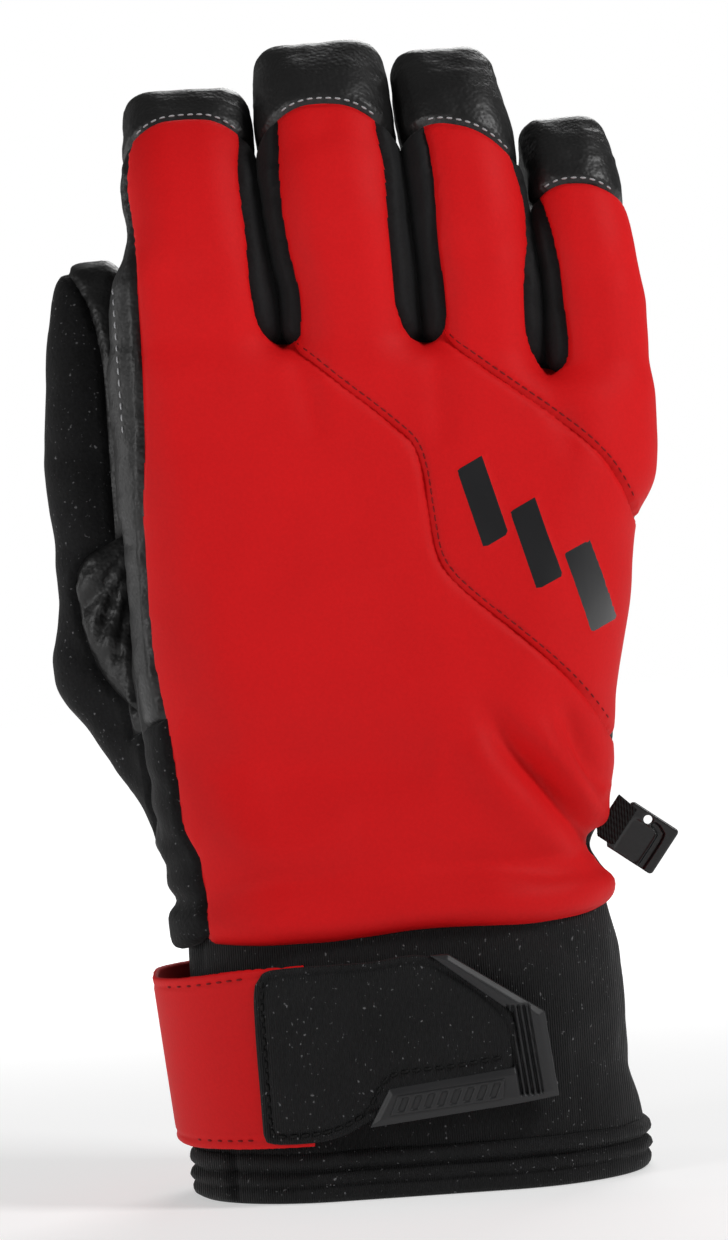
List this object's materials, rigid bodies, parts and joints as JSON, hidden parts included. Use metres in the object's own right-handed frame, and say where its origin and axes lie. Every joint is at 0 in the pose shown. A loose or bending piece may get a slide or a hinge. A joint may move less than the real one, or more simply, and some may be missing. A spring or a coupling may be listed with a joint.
{
  "type": "snow glove",
  "caption": "Padded five-finger snow glove with a hook-and-loop wrist strap, bending finger stalls and a side clip.",
  "frame": {"origin": "middle of the wrist opening, on the plane that the hem stands on", "axes": "+X to the little finger's side, +Y from the back of the hand to the palm, +Z from the wrist opening to the fingertips"},
  "size_m": [0.1393, 0.0797, 0.256],
  "materials": {
    "red_softshell": "matt softshell weave, slightly sheened",
    "black_leather": "fine-grained soft leather, satin",
    "black_softshell": "matt woven softshell",
    "neoprene": "matt knit-faced foam",
    "fleece": "short napped fleece",
    "hook_loop": "matt hook-and-loop pile",
    "strap_fabric": "matt softshell weave",
    "tab_rubber": "satin moulded rubber",
    "gloss_transfer": "glossy printed transfer",
    "black_plastic": "satin moulded plastic",
    "webbing": "ribbed narrow webbing"
  },
  "bodies": {
    "cuff": {"cuff_back_panel": "neoprene", "cuff_palm_panel": "neoprene", "cuff_hem_binding": "neoprene", "cuff_lining": "fleece", "loop_patch": "hook_loop", "strap_anchor": "strap_fabric", "wrist_flex_zone": "neoprene"},
    "hand": {"back_panel_index": "red_softshell", "back_panel_band": "red_softshell", "back_panel_outer": "red_softshell", "band_emblem": "gloss_transfer", "palm_panel": "black_leather", "thumb_crotch_overlay": "black_leather", "thumb_gusset": "black_softshell", "hand_liner": "fleece", "finger_crotch_web": "black_softshell", "index_flex_zone": "red_softshell", "middle_flex_zone": "red_softshell", "ring_flex_zone": "red_softshell", "little_flex_zone": "red_softshell", "thumb_flex_zone": "black_softshell"},
    "index": {"index_back": "red_softshell", "index_palm": "black_leather", "index_sidewalls": "black_softshell", "index_cap": "black_leather", "index_liner": "fleece"},
    "middle": {"middle_back": "red_softshell", "middle_palm": "black_leather", "middle_sidewalls": "black_softshell", "middle_cap": "black_leather", "middle_liner": "fleece"},
    "ring": {"ring_back": "red_softshell", "ring_palm": "black_leather", "ring_sidewalls": "black_softshell", "ring_cap": "black_leather", "ring_liner": "fleece"},
    "little": {"little_back": "red_softshell", "little_palm": "black_leather", "little_sidewalls": "black_softshell", "little_cap": "black_leather", "little_liner": "fleece"},
    "thumb": {"thumb_back": "black_softshell", "thumb_palm": "black_leather", "thumb_sidewalls": "black_leather", "thumb_cap": "black_softshell", "thumb_liner": "fleece"},
    "strap": {"strap_band": "strap_fabric", "strap_cover": "neoprene", "pull_tab": "tab_rubber", "tab_badge": "tab_rubber", "hook_patch": "hook_loop"},
    "clip": {"clip_hook": "black_plastic", "clip_webbing": "webbing"}
  },
  "joints": [
    {"name": "wrist_flex", "type": "hinge", "parent": "cuff", "child": "hand", "pos_m": [0, 0, 0.058], "axis": [-1, 0, 0], "range_deg": [-35, 35], "stiffness_Nm_per_rad": 2, "deforming": ["wrist_flex_zone"]},
    {"name": "index_flex", "type": "hinge", "parent": "hand", "child": "index", "pos_m": [-0.0366, 0, 0.19], "axis": [-1, 0, 0], "range_deg": [-10, 70], "stiffness_Nm_per_rad": 0.12, "deforming": ["index_flex_zone"]},
    {"name": "middle_flex", "type": "hinge", "parent": "hand", "child": "middle", "pos_m": [-0.006, 0, 0.19], "axis": [-1, 0, 0], "range_deg": [-10, 70], "stiffness_Nm_per_rad": 0.12, "deforming": ["middle_flex_zone"]},
    {"name": "ring_flex", "type": "hinge", "parent": "hand", "child": "ring", "pos_m": [0.024, 0, 0.186], "axis": [-1, 0, 0], "range_deg": [-10, 70], "stiffness_Nm_per_rad": 0.12, "deforming": ["ring_flex_zone"]},
    {"name": "little_flex", "type": "hinge", "parent": "hand", "child": "little", "pos_m": [0.05, 0, 0.182], "axis": [-1, 0, 0], "range_deg": [-10, 70], "stiffness_Nm_per_rad": 0.12, "deforming": ["little_flex_zone"]},
    {"name": "thumb_flex", "type": "hinge", "parent": "hand", "child": "thumb", "pos_m": [-0.0629, 0.0235, 0.128], "axis": [-1, 0, 0], "range_deg": [0, 45], "stiffness_Nm_per_rad": 0.12, "deforming": ["thumb_flex_zone"]},
    {"name": "strap_open", "type": "hinge", "parent": "cuff", "child": "strap", "pos_m": [-0.0576, 0, 0.032], "axis": [0, 0, -1], "range_deg": [0, 150]},
    {"name": "clip_swing", "type": "hinge", "parent": "hand", "child": "clip", "pos_m": [0.0476, 0, 0.0805], "axis": [0.3, 0, 0.9539], "range_deg": [-75, 75]}
  ]
}
